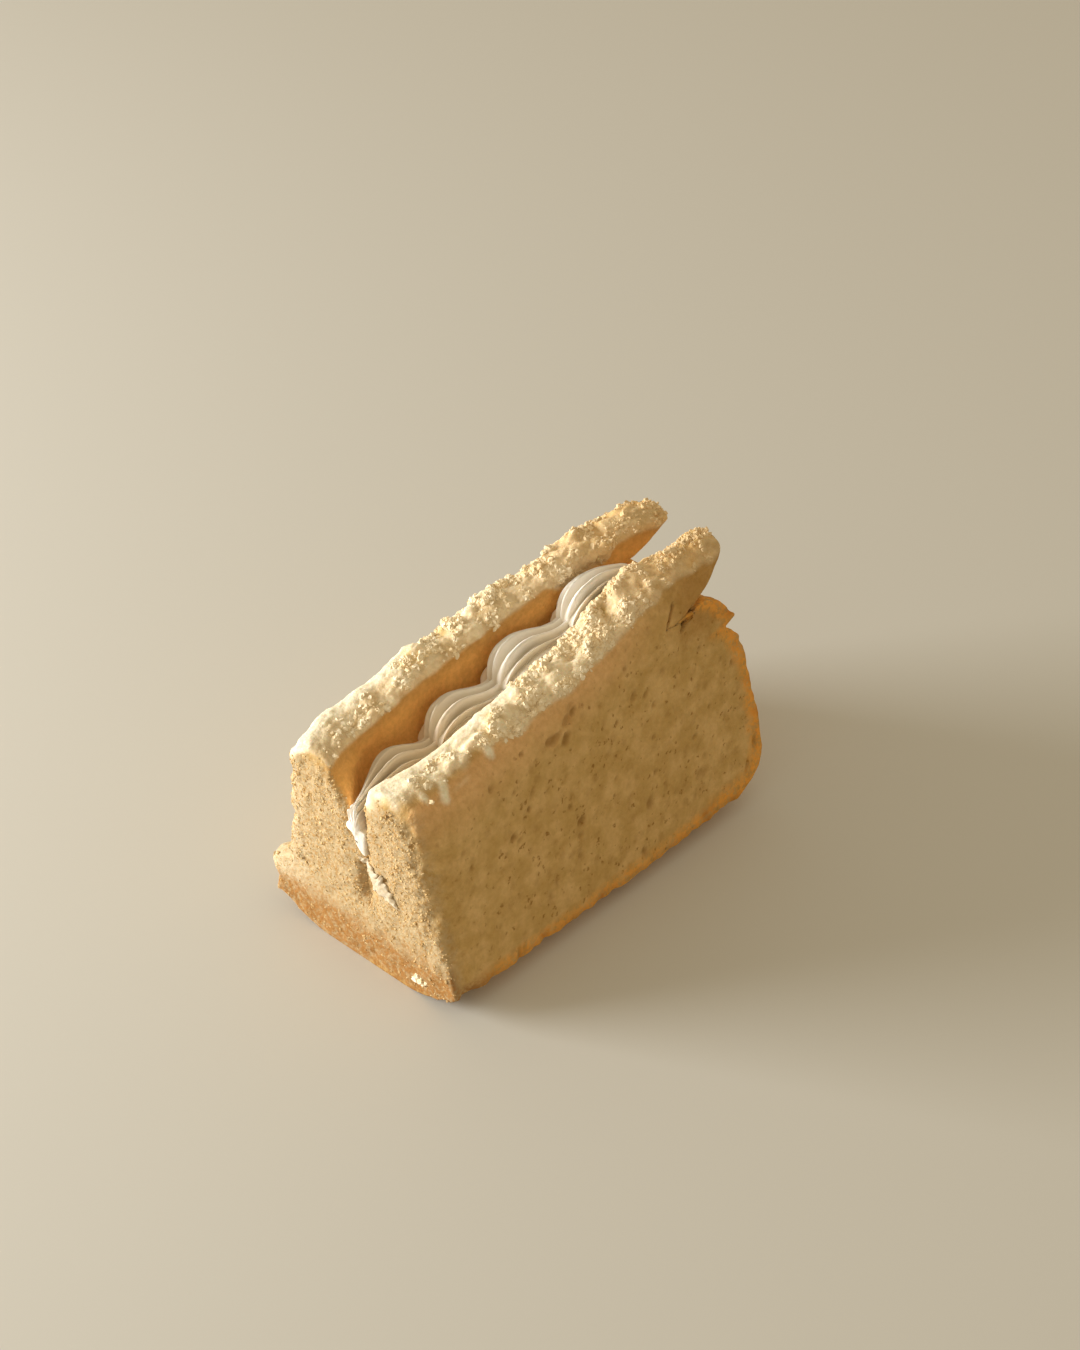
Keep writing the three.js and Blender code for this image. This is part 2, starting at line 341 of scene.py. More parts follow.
# wall of the slit: a share of the mouth's half width, pinched at the pale end's far side
def slitWall(x, z, near):
    depth = unit((topAt(x) - z) / (topAt(x) - slitFloorAt(x)))
    width = unit(slitShapeAt(depth))
    pinch = plan["mouthPinch"] * ease(14, 0, x) * ease(0.05, 0.27, depth) * ease(0.66, 0.45, depth)
    crack = slitMiddleAt(x) + np.where(near, -plan["crackHalf"], plan["crackHalf"])
    mouth = np.where(near, nearInnerAt(x), farInnerAt(x))
    return mix(crack, mouth, np.where(near, width, width * (1 - pinch)))


# cross-section: along runs from the far top (-1) round the foot to the near top (1), through from
# the slit (0) to the outside (1); each point lies between its slit point and its outside point
def section(along, through, x, lift):
    near = along > 0
    footEnd, lowEnd = plan["footShare"], plan["lowShare"]
    share = np.abs(along)
    low = share < lowEnd
    foot = share < footEnd
    edge, top, floor = edgeAt(x), topAt(x), slitFloorAt(x)
    climb = unit((share - lowEnd) / (1 - lowEnd))
    quick, slow = plan["slabClimb"]
    height = climb * (quick - slow * climb)
    crown = plan["crownDrop"] * np.abs(2 * through - 1) ** 3 * ease(0.8, 1, height)
    lowTop = floor - plan["lowDrop"]
    lowRise = unit((share - footEnd) / (lowEnd - footEnd))
    turn = unit(share / lowEnd) * np.pi / 2
    outerZ = np.where(low, mix(edge, lowTop, lowRise), mix(lowTop, top, height) - crown)
    innerZ = np.where(low, floor - plan["crackHalf"] * np.cos(turn), mix(floor, top, height) - crown)
    outerZ = np.where(foot, undersideAt(x, share / footEnd), outerZ)
    base = np.minimum(edge, outerZ) * through**2
    level = unit((mix(innerZ, outerZ, through) - base) / (top - base))
    raised = np.where(low, 0, lift * np.interp(level, endShare, endLift))
    outerZ = outerZ + raised
    innerZ = innerZ + raised
    outerY = np.where(near, nearFace(x, outerZ), farFace(x, outerZ))
    outerY = np.where(foot, footY(x, near) * share / footEnd, outerY)
    lowY = slitMiddleAt(x) + np.where(near, -1, 1) * plan["crackHalf"] * np.sin(turn)
    innerY = np.where(low, lowY, slitWall(x, innerZ, near))
    return mix(innerY, outerY, through), mix(innerZ, outerZ, through), height * ~low, level, outerY


# rounds the corner between two faces; a and b are the distances from them
def cornered(a, b, radius):
    least, most = np.minimum(a, b), np.maximum(a, b)
    left = np.maximum(radius - least, 1e-6)
    turn = np.pi / 4 * (1 - (most - least) / left)
    short = least + left * (1 - np.cos(turn))
    long = least + left * (1 - np.sin(turn))
    changed = most < radius
    newA = np.where(a < b, short, long)
    newB = np.where(a < b, long, short)
    return np.where(changed, newA, a), np.where(changed, newB, b)


# smooth sponge: length runs along X and is stretched to the baked end's profile
def spongeSurface(along, through, length):
    end = unit((length - plan["endStart"]) / (1 - plan["endStart"])) ** plan["endCrowd"]
    x = length * plan["meanLength"]
    for _ in range(5):  # reach and level hang on each other
        y, z, height, level, outerY = section(along, through, x, end)
        reach = np.interp(level, endShare, endReach)
        x = length * plan["meanLength"] + end * (reach - plan["meanLength"])
    radius = np.where(along > plan["lowShare"], plan["cornerRound"] * ease(8, 26, z), 0)
    x, inset = cornered(x, y - outerY, radius)
    x = x + plan["topTuck"] * ease(0.05, 0, length) * ease(0.9, 1, level)
    return np.stack([x, outerY + inset, z], -1), height, level, reach


# the six sides of a box of steps as quads that face out, their edges joined
def boxSkin(around, wall, long):
    def side(first, second, place):
        i, j = np.meshgrid(np.arange(first + 1), np.arange(second + 1), indexing="ij")
        s, t, x = place(i, j)
        key = (s * (wall + 1) + t) * (long + 1) + x
        return np.stack([key[:-1, :-1], key[1:, :-1], key[1:, 1:], key[:-1, 1:]], -1).reshape(-1, 4)

    sides = [
        side(long, around, lambda x, s: (s, wall + 0 * s, x)),
        side(around, long, lambda s, x: (s, 0 * s, x)),
        side(long, wall, lambda x, t: (0 * t, t, x)),
        side(wall, long, lambda t, x: (around + 0 * t, t, x)),
        side(wall, around, lambda t, s: (s, t, 0 * s)),
        side(around, wall, lambda s, t: (s, t, long + 0 * s)),
    ]
    keys, quads = np.unique(np.concatenate(sides), return_inverse=True)
    return np.unravel_index(keys, (around + 1, wall + 1, long + 1)), quads.reshape(-1, 4)


crumb = {
    "footSteps": 14,
    "lowSteps": 8,
    "slabSteps": 86,
    "wallSteps": 26,
    "lengthSteps": 172,
    "outerCrowd": 1.7,  # steps through the wall crowd outwards
    "wearRounds": 22,
    "shoulderRounds": 70,
    "wearShare": 0.6,
    # layers of relief: size and rise
    "clump": (3.0, 1.1),  # crumbly tear
    "grain": (1.3, 0.35),
    "swell": (6.5, 1.6),
    "fray": (1.7, 0.4),
    "fluff": (2.0, 0.3),  # soft tear
    "down": (1.0, 0.12),
    "faceWave": (9.0, 0.3),  # cut faces
    "faceGrain": (2.2, 0.14),
    "poreStray": (1.8, 0.5),
    "endGrain": (1.4, 0.34),  # pale end
    "endWave": (4.5, 0.45),
    "scallop": (3.8, 1.6),
    "corner": (3.2, 0.55),
    "slitWave": (4.0, 0.3),  # walls of the slit
    "slitGrain": (1.5, 0.1),
    "crustWave": (6.5, 0.8),  # crust
    "crustLump": (2.4, 0.5),
    # pores: cell, radius in cells, share of cells that have one, depth
    "hole": (3.4, 0.38, 0.4, 0.85),
    "finePore": (3.6, 0.22, 0.55, 0.4),
    "openPore": (6.5, 0.2, 0.6, 0.7),
    "endPore": (2.4, 0.34, 0.6, 0.4),
    "poreSlant": 35,  # degrees from upright towards the baked end
    "poreStretch": 1.4,
    # shifts of whole forms, mm
    "spill": 4.5,  # crumb torn down the far wall by the last shell
    "crackHollow": 1.7,
    "tongueRise": 0.5,
    "earOut": 1.1,
    "earTuck": 1.2,  # the foot under the ear is drawn in
    "earTrim": 3.2,  # the wall over it too, for a square upper edge
    "crownLean": (1.9, 0.8),  # the near crown over the last shell: across, up
    # dents of the near cut face: station, height, half length, half height, slant, depth
    "dents": [
        (41.5, 49.8, 3.4, 1.5, 0.35, 1.1), (46.6, 52.0, 1.9, 1.6, 0.9, 0.8), (66.5, 47.4, 1.3, 1.7, 0.4, 0.8),
        (72.0, 42.3, 0.9, 1.3, 0.2, 0.6), (82.4, 18.1, 1.9, 1.5, 0.0, 0.8), (82.6, 27.8, 1.0, 0.9, 0.3, 0.7),
        (32.8, 41.3, 0.9, 1.7, 0.5, 0.6), (43.7, 23.4, 1.5, 1.1, 0.2, 0.6), (42.3, 18.4, 1.0, 2.0, 0.8, 0.7),
        (97.4, 12.2, 0.8, 1.6, -0.2, 0.6),
    ],
    # cracks by the saddle: top station and height, foot, half width, depth
    "cracks": [(83.2, 61.8, 79.8, 57.6, 0.3, 1.2), (87.6, 58.6, 84.0, 55.6, 0.35, 1.4)],
    # pale tongues on the near cut face: top station and height, foot, half width
    "tongues": [(16.0, 56.0, 11.2, 51.6, 0.9), (8.5, 55.5, 7.4, 52.8, 0.7), (27, 57.5, 25.5, 54.5, 0.8)],
    # yellow lumps in the torn crown: place and radius
    "yellowLumps": [
        (0.5, -7.0, 52.5, 2.4), (32.5, -10.3, 56.5, 3.2), (45.5, 18, 58, 3.2), (34.5, 16, 57.5, 3.0),
        (70, -9, 63, 2.4),
    ],
}


# steps round the section, those of a slab evened out, and along the length
def spongeSteps(c):
    footEnd, lowEnd = plan["footShare"], plan["lowShare"]
    foot = np.linspace(0, footEnd, c["footSteps"] + 1)[:-1]
    low = np.linspace(footEnd, lowEnd, c["lowSteps"] + 1)[:-1]
    height = np.linspace(0, 1, c["slabSteps"] + 1)
    quick, slow = plan["slabClimb"]
    climb = (quick - np.sqrt(quick**2 - 4 * slow * height)) / (2 * slow)
    slab = lowEnd + climb * (1 - lowEnd)
    half = np.concatenate([foot, low, slab])
    run = np.linspace(0, 1, c["lengthSteps"] + 1)
    return np.concatenate([-half[:0:-1], half]), run * (1.06 - 0.06 * run)


# bowls round strewn seeds, deepest in the middle; some seeds have none
def pores(points, kind, salt):
    cell, radius, share, _ = kind
    nearest, pick = strewn(points, cell, salt)
    reach = radius * (0.55 + 0.9 * pick / share)
    return np.where(pick < share, ease(1, 0.15, nearest / reach), 0)


# worn edges: each point moves towards the mean of its neighbours, again and again
def softened(points, quads, share, rounds):
    here = quads.ravel()
    ahead = np.roll(quads, -1, axis=1).ravel()
    count = np.bincount(here, minlength=len(points))
    for _ in range(rounds):
        sums = [np.bincount(here, points[ahead, axis], len(points)) for axis in range(3)]
        points = mix(points, np.stack(sums, -1) / count[:, None], share[:, None])
    return points


# rounded knobs round strewn seeds, each with its own height
def knobs(points, layer, salt):
    size, rise = layer
    nearest, pick = strewn(points, size, salt)
    return rise * (np.sqrt(unit(1 - (nearest / 0.9) ** 2)) * (0.45 + 0.9 * pick) - 0.6)


# soft line from top to foot, in the plane of the near cut face
def lineShare(points, topX, topZ, footX, footZ, half):
    x, _, z = points.T
    run = unit((topZ - z) / (topZ - footZ))
    gap = np.hypot(x - mix(topX, footX, run), z - mix(topZ, footZ, run)) + 0.3 * waver(points, 1.3, 90)
    return ease(half * 1.8, half * 0.5, gap)


# dents are soft ellipses, cracks soft lines, both in the near cut face
def faceDents(points, c):
    x, _, z = points.T
    wobble = 1 + 0.3 * waver(points, 1.6, 80)
    sunk = np.zeros(len(points))
    for dx, dz, long, tall, slant, deep in c["dents"]:
        ring = np.hypot((x - dx - slant * (z - dz)) / long, (z - dz) / tall)
        sunk = np.maximum(sunk, deep * ease(1, 0.3, ring * wobble))
    for *line, deep in c["cracks"]:
        sunk = np.maximum(sunk, deep * lineShare(points, *line))
    return sunk


# wears down the pale rim, the crown and the baked top, then the near slab's shoulder
def wornSkin(s, points, c):
    x, _, z = points.T
    wear = np.maximum.reduce([
        ease(9, 3, x) * ease(4, 15, z), ease(0.86, 0.94, s.height),
        0.3 * ease(3.5, 1, s.fromEnd) * (s.level > 0.87)
    ])
    points = softened(points, s.quads, c["wearShare"] * wear, c["wearRounds"])
    x, _, z = points.T
    shoulder = ease(36, 8, x) * ease(0.66, 0.86, s.height)
    shoulder = np.maximum(shoulder, ease(13, 5, x) * ease(8, 26, z))
    shoulder = shoulder * s.near * ease(0.35, 0.75, s.through)
    return softened(points, s.quads, c["wearShare"] * shoulder, c["shoulderRounds"])


# the sponge's skin before any relief, and where its points lie; called s in what follows
def smoothSkin(c):
    s = SimpleNamespace()
    alongSteps, lengthSteps = spongeSteps(c)
    (i, j, k), s.quads = boxSkin(len(alongSteps) - 1, c["wallSteps"], c["lengthSteps"])
    along, s.length = alongSteps[i], lengthSteps[k]
    across = j / c["wallSteps"]
    s.through = mix(1 - (1 - across) ** c["outerCrowd"], across, np.abs(along))
    points, s.height, s.level, reach = spongeSurface(along, s.through, s.length)
    s.near = along > 0
    s.fromEnd = reach - points[:, 0]
    s.points = wornSkin(s, points, c)
    s.normals = vertexNormals(s.points, s.quads)
    s.x, s.y, s.z = s.points.T
    s.below = (1 - s.height) * (topAt(s.x) - slitFloorAt(s.x))  # mm under the crown
    s.aboveEdge = s.z - edgeAt(s.x)
    s.outside = ease(0.5, 0.9, s.through)
    s.patchy = 0.3 * waver(s.points, 5, 8)
    return s


# torn crown: an uneven fringe of each wall; crumbly on the near slab's outer half and the far slab's
# inner half, right across both past the middle, and soft elsewhere
def findTear(s, c):
    nearFringe = mix(1.2, mix(0.9, 0.3, ease(60, 85, s.x)), s.outside)
    spill = c["spill"] * ease(68, 74, s.x) * ease(89, 85, s.x)
    uneven = mix(0.8, 1.4, s.outside) * waver(s.points, 4.5, 1)
    fringe = np.where(s.near, nearFringe, mix(0.2 + spill, 2.6, s.outside)) + uneven
    torn = ease(fringe + 0.9, fringe - 0.9, s.below)
    shoulder = mix(0.84, 1.5, ease(24, 46, s.x)) + 0.3 * waver(s.points, 4.2, 5)
    torn = torn * np.where(s.near, ease(shoulder + 0.16, shoulder - 0.16, s.through), 1)
    s.torn = np.maximum(torn, s.near * ease(0.3, 0.05, s.through) * ease(6, 3, s.below))
    s.tongue = np.zeros(len(s.points))
    for line in c["tongues"]:
        s.tongue = np.maximum(s.tongue, lineShare(s.points, *line) * s.near * s.outside)
    farEdge = mix(0.46, 1.2, ease(20, 52, s.x)) + 1.4 * s.patchy
    nearEdge = mix(0.46, -0.3, ease(28, 58, s.x)) + 1.3 * s.patchy
    nearCrumb = ease(nearEdge - 0.15, nearEdge + 0.15, s.through)
    farCrumb = ease(farEdge + 0.15, farEdge - 0.15, s.through)
    s.crumbly = np.where(s.near, nearCrumb, farCrumb) * s.torn * ease(2.5, 5, s.x + 2 * s.patchy)


# the pale end, the walls of the slit and the cut faces
def findFaces(s, c):
    whole = 1 - s.torn
    s.end = whole * ease(2.6, 0.2, s.x) * ease(0.3, 3, s.z)
    bakedSkin = whole * ease(2.2, 0.2, s.fromEnd) * ease(0.87, 0.84, s.level) * (s.length > 0.8)
    s.inSlit = ease(0.25, 0, s.through) * (1 - s.end) * np.maximum(ease(1, 6, s.x), ease(33, 38, s.z))
    s.face = whole * (1 - s.end) * (1 - bakedSkin) * ease(0.8, 1, s.through) * ease(0.5, 5, s.z)
    s.dent = faceDents(s.points, c) * s.near * ease(0.8, 1, s.through)
    # hollow beside the pale end's crack, deepest next to the near slab
    beside = s.y - slitMiddleAt(s.x) - 0.6 * waver(s.points, 3, 186)
    s.hollow = ease(4.2, 0.6, beside) * ease(-0.7, 0.1, beside) * s.end
    s.hollow = s.hollow * ease(17, 22, s.z) * ease(33, 29, s.z)


# crust: uneven bands along the foot and round the baked end
def findCrust(s):
    band = 2.4 + 3.2 * ease(70, 99, s.x) + 1.5 * waver(s.points, 4.0, 190)
    s.footBrown = ease(band + 1.4, band * 0.4, s.aboveEdge) * ease(0.8, 1, s.through) + ease(5, 1.5, s.z)
    rim = 3.4 + 1.2 * ease(0.5, 0.64, s.level) + 2.5 * ease(0.2, 0.05, s.level)
    rim = rim + 1.8 * waver(s.points, 3.6, 210)
    s.rimBrown = ease(rim + 1.4, rim * 0.4, s.fromEnd) * ease(0.875, 0.855, s.level) * (s.length > 0.7)
    crust = unit(np.maximum(s.rimBrown, s.footBrown * ease(0.4, 3, s.z)))
    s.crust = crust * (1 - s.torn) * s.outside


# crumbly tear: knobs and grain over a slow swell, with open holes between; soft tear: low fluff
def tearRise(s, c):
    s.hole = pores(s.points, c["hole"], 40)
    ragged = knobs(s.points, c["clump"], 20) - 0.15 - c["hole"][-1] * s.hole
    ragged += knobs(s.points, c["grain"], 30)
    fluffy = knobs(s.points, c["fluff"], 34) + wave(s.points, c["down"], 38)
    swell = wave(s.points, c["swell"], 50)
    return s.crumbly * (ragged + swell) + (s.torn - s.crumbly) * (fluffy + 0.4 * swell)


# cut faces: slow wave, faint grain, pores drawn out along a slanting axis, fewer under the crown and
# towards the pale end
def faceRise(s, c):
    lean = math.radians(c["poreSlant"])
    x, y, z = (s.points + pushed(s.points, c["poreStray"], 56)).T
    leanX = x * math.cos(lean) - z * math.sin(lean)
    leanZ = x * math.sin(lean) + z * math.cos(lean)
    drawn = np.stack([leanX, y, leanZ / c["poreStretch"]], -1)
    fine, wide = pores(drawn, c["finePore"], 60), pores(drawn, c["openPore"], 70)
    s.porous = ease(0.5, 6, s.below + 2 * s.patchy) * mix(0.35, 1, ease(2, 22, s.x))
    s.facePit = s.porous * np.maximum(0.8 * fine, wide) * s.face
    cut = wave(s.points, c["faceWave"], 100) + wave(s.points, c["faceGrain"], 110)
    cut -= s.porous * (c["finePore"][-1] * fine + c["openPore"][-1] * wide)
    return s.face * cut


# pale end: granular with round pores, smoother on the ear, wavy at its near corner
def endRise(s, c):
    s.endPore = pores(s.points, c["endPore"], 120)
    granular = wave(s.points, c["endGrain"], 130) - c["endPore"][-1] * s.endPore
    granular += wave(s.points, c["endWave"], 140)
    corner = s.near * ease(0.4, 0.8, s.through) * ease(10, 4, s.x) * ease(0.5, 6, s.z)
    corner = corner * wave(s.points, c["corner"], 156)
    return s.end * (1 - 0.7 * s.ear) * granular - c["crackHollow"] * s.hollow + corner


# torn ear with a square upper edge, the foot drawn in under it, and the scalloped far edge
def earShift(s, c):
    farEnd = ~s.near * s.outside * ease(9, 3, s.x)
    lobeTop = ease(17, 15.4, s.z)
    s.ear = farEnd * ease(9, 12, s.z) * lobeTop
    tuck = farEnd * ease(11, 7, s.z) * ease(0.5, 5, s.z)
    trim = ~s.near * s.outside * ease(10, 2, s.x) * np.maximum(0, ease(21, 18.5, s.z) - lobeTop)
    scallop = wave(s.points, c["scallop"], 150) * ease(11, 18, s.y) * ease(7, 2, s.x) * ease(0.5, 5, s.z)
    return scallop + c["earOut"] * s.ear - c["earTuck"] * tuck - c["earTrim"] * trim


# smooth skin plus relief along its normals, frayed where torn, then the shifts across and up
def shapeSkin(s, c):
    across = earShift(s, c)
    lumpy = wave(s.points, c["crustWave"], 160) + wave(s.points, c["crustLump"], 170)
    wall = wave(s.points, c["slitWave"], 180) + wave(s.points, c["slitGrain"], 184)
    wall = wall * ease(0.3, 0.6, s.height)
    rise = tearRise(s, c) + faceRise(s, c) + endRise(s, c) + s.crust * lumpy
    rise += (1 - s.torn) * s.inSlit * wall - s.dent + c["tongueRise"] * s.tongue
    rise = np.where(s.near & (s.through < 0.2), np.maximum(rise, -0.1), rise)
    frayed = mix(0.25 * s.torn, 1, s.crumbly)[:, None] * pushed(s.points, c["fray"], 54)
    points = s.points + s.normals * rise[:, None] + frayed
    mouth = s.near * ease(0.4, 0, s.through) * ease(11, 2, s.x) * ease(25, 33, s.z)
    leaning = s.near * ease(0.8, 0.97, s.height) * ease(0.75, 0.2, s.through)
    leaning = leaning * ease(62, 71, s.x) * ease(93, 84, s.x)
    leanAcross, leanUp = c["crownLean"]
    points[:, 1] += across + plan["mouthShift"] * mouth + leanAcross * leaning
    points[:, 2] = np.maximum(points[:, 2] + leanUp * leaning, 0)
    return points


# where each colour of the finish lies
def spongeMasks(s, c, points):
    ragged = 3 * waver(points, 4, 200) + 2.5 * waver(points, 1.5, 204)
    endBrown = ease(9, 2.5, s.aboveEdge + ragged) * s.end
    softEdge = ~s.near * (1 - s.torn) * ease(5, 1, s.x) * ease(16, 20, s.y) * ease(6, 12, s.z)
    # painted shade in pores, torn holes, dents and the hollow by the crack
    pitShade = s.facePit + 0.22 * s.endPore * s.end
    sunken = unit(0.6 * s.dent)
    # how deep each wall point lies in the slit, for the painted glow there
    deep = np.where(s.near, ease(6, 14, s.below), ease(0.3, 6, s.below))
    farTurn = (1 - s.torn) * ~s.near * s.outside * ease(14, 5, s.x)
    nearTurn = 0.7 * s.face * s.near * ease(4.5, 0.5, s.x + 1.6 * waver(points, 2.2, 230))
    gold = np.zeros(len(points))
    for *spot, radius in c["yellowLumps"]:
        gap = np.linalg.norm(points - np.array(spot), axis=-1) + 0.8 * waver(points, 1.8, 220)
        gold = np.maximum(gold, ease(radius, radius * 0.4, gap))
    return {
        "brown": np.maximum.reduce([s.footBrown, endBrown, s.rimBrown]) * (1 - s.crumbly),
        "torn": np.maximum.reduce([s.torn, s.tongue, 0.3 * s.ear, 0.15 * softEdge]),
        "crumbly": s.crumbly,
        "pitShade": np.maximum.reduce([pitShade, 0.25 * s.hole * s.crumbly, sunken, 0.5 * s.hollow]),
        # painted shade: slit walls darker and more orange than the cut faces
        "slit": s.inSlit * np.where(s.near, ease(3, 8, s.below), 1 - s.torn),
        # painted glow: saturated orange deep in the slit, for light bounced between and passing through the
        # walls
        "deep": s.inSlit * deep * (1 - s.torn),
        "end": np.maximum.reduce([s.end, farTurn, nearTurn]),
        # far cut face, tinted paler as the lit copy of the cut crumb (painted light)
        "litFar": s.face * ~s.near,
        # painted shade: cut faces darker and browner high up under the horns
        "hornShade": s.face * ease(78, 90, s.x) * ease(47, 56, s.z),
        "pale": ease(16, 5, s.x),
        "gold": gold * np.maximum(s.torn, 0.8 * s.near),
        "ripe": ease(*plan["ripe"], s.x),
        "cut": s.porous * s.face,
        # painted glow: cut faces lighter and warmer just under the crown, where light reaches them, not
        # towards the horns
        "upperGlow": s.face * ease(12, 0.5, s.below + 6 * s.patchy) * ease(86, 62, s.x),
    }


def makeSponge(c):
    skin = smoothSkin(c)
    findTear(skin, c)
    findFaces(skin, c)
    findCrust(skin)
    skin.points = shapeSkin(skin, c)
    skin.normals = vertexNormals(skin.points, skin.quads)
    piece = meshPiece("sponge", skin.points, skin.quads.tolist())
    for name, values in spongeMasks(skin, c, skin.points).items():
        addMask(piece, name, values)
    return piece, skin


# loose crumbs: small knobbly lumps, part sunk

tornCrumbs = {
    "count": 5400,
    "seed": 7,
    "around": 6,
    "rings": 3,
    "size": (0.2, 0.8),  # mm, radius
    "small": 2.6,  # higher: more small ones
    "knobbly": 0.24,
    "stretch": (0.7, 1.4),
    "sunk": 0.45,
    "slide": 0.28,  # mm, along the skin
    # stray crumbs off the crown: place and radius
    "strays": [
        (0.2, -15.3, 4.5, 0.9), (0.3, -14.2, 4.2, 0.6), (0.1, -16.3, 4.8, 0.8), (0.1, -15.6, 5.6, 0.6),
        (0.1, -17.3, 4.2, 0.7), (0.1, -18.0, 5.0, 0.5), (0.1, -16.9, 5.8, 0.4), (7.6, -14.7, 52.6, 0.55),
    ],
}

endGrains = {
    **tornCrumbs,
    "count": 3200,
    "seed": 19,
    "around": 5,
    "rings": 2,
    "size": (0.16, 0.46),
    "small": 1.8,
    "knobbly": 0.16,
    "sunk": 0.62,
    "strays": [],
}


def makeCrumbs(name, c, skin, weight):
    draw = np.random.default_rng(c["seed"])
    chosen = draw.choice(len(weight), c["count"], p=weight / weight.sum())
    size = mix(*c["size"], draw.random(c["count"]) ** c["small"])
    normals = skin.normals[chosen]
    slide = draw.normal(size=(c["count"], 3)) * c["slide"]
    slide = slide - normals * np.sum(slide * normals, -1, keepdims=True)
    centre = skin.points[chosen] - normals * (c["sunk"] * size[:, None]) + slide
    strays = np.array(c["strays"], float).reshape(-1, 4)
    centre = np.concatenate([centre, strays[:, :3]])
    size = np.concatenate([size, strays[:, 3]])
    count = len(size)
    rings, around = c["rings"], c["around"]
    # lump: rings between two poles, each corner pulled in or out by its own draw
    polar = np.pi * np.arange(1, rings + 1) / (rings + 1)
    turn = 2 * np.pi * np.arange(around) / around
    polar, turn = np.meshgrid(polar, turn, indexing="ij")
    ring = np.stack([np.sin(polar) * np.cos(turn), np.sin(polar) * np.sin(turn), np.cos(polar)], -1)
    ball = np.concatenate([[(0, 0, 1.0)], ring.reshape(-1, 3), [(0, 0, -1.0)]])
    lump = ball * (1 + c["knobbly"] * draw.normal(size=(count, len(ball), 1)).clip(-1.6, 1.6))
    lump = lump * mix(*c["stretch"], draw.random((count, 1, 3)))
    axes = np.linalg.qr(draw.normal(size=(count, 3, 3)))[0]
    axes[:, :, 0] *= np.sign(np.linalg.det(axes))[:, None]
    lump = np.einsum("nij,nkj->nki", axes, lump) * size[:, None, None]
    corners = (lump + centre[:, None, :]).reshape(-1, 3)
    corners[:, 2] = np.maximum(corners[:, 2], 0)
    quads = 1 + tubeQuads(rings, around)
    caps = tubeCaps(rings, around, 1, (0, len(ball) - 1))
    one = np.concatenate([caps, quads[:, :3], quads[:, [0, 2, 3]]])
    faces = (one + (np.arange(count) * len(ball))[:, None, None]).reshape(-1, 3)
    piece = meshPiece(name, corners, faces.tolist(), smooth=False)
    cluster = 0.5 + 0.8 * waver(centre, 3.0, 240) + 0.3 * (draw.random(count) - 0.5)
    addMask(piece, "tone", np.repeat(cluster, len(ball)))
    addMask(piece, "ripe", ease(*plan["ripe"], corners[:, 0]))
    return piece


# piped cream: four ridged shells whose foot fills the slit

piping = {
    "starts": (-2.2, 26, 46.2, 67.2, 90),
    "crestDrop": [(0, 3.6), (12, 3), (24, 2.8), (35.5, 2.4), (56, 0.4), (78, -0.8)],
    "rise": 9.0,
    "ridges": 6,
    "ridgeDepth": 0.33,
    "shell": (0.34, 0.24, 0.3),  # size at the crease, swell, start of the fall
    "front": (0.55, 0.5, 0.58),
    "tailShrink": 0.66,
    "gap": 0.45,
    "foot": 0.37,
    "middle": 0.42,  # share of the way from near to far
    "slant": 0.22,  # the ridges run back towards the far side
    "nose": 2.2,
    "noseReach": (0.2, 0.6),  # share that stands out: near, far side
    "noseTurn": 1.6,  # its far side is drawn out sideways
    "tail": 5.0,
    "ripple": (1.5, 0.1),  # size and rise
    "grain": (0.7, 0.05),
    "ridgeSteps": 24,
    "fillingSteps": 30,
    "shellSteps": 54,
}

crestDropAt = curveThrough(piping["crestDrop"])


def rounded(share):
    return np.sqrt(unit(1 - (1 - unit(share)) ** 2))


# grooves between ridges: each falls steeply from one ridge and climbs slowly to the next
def ridgeGroove(turn, c):
    share = np.mod(c["ridges"] * (turn - 0.2 * np.sin(2 * turn)) / np.pi, 1)
    return np.sin(np.pi * share**0.68) ** 1.2


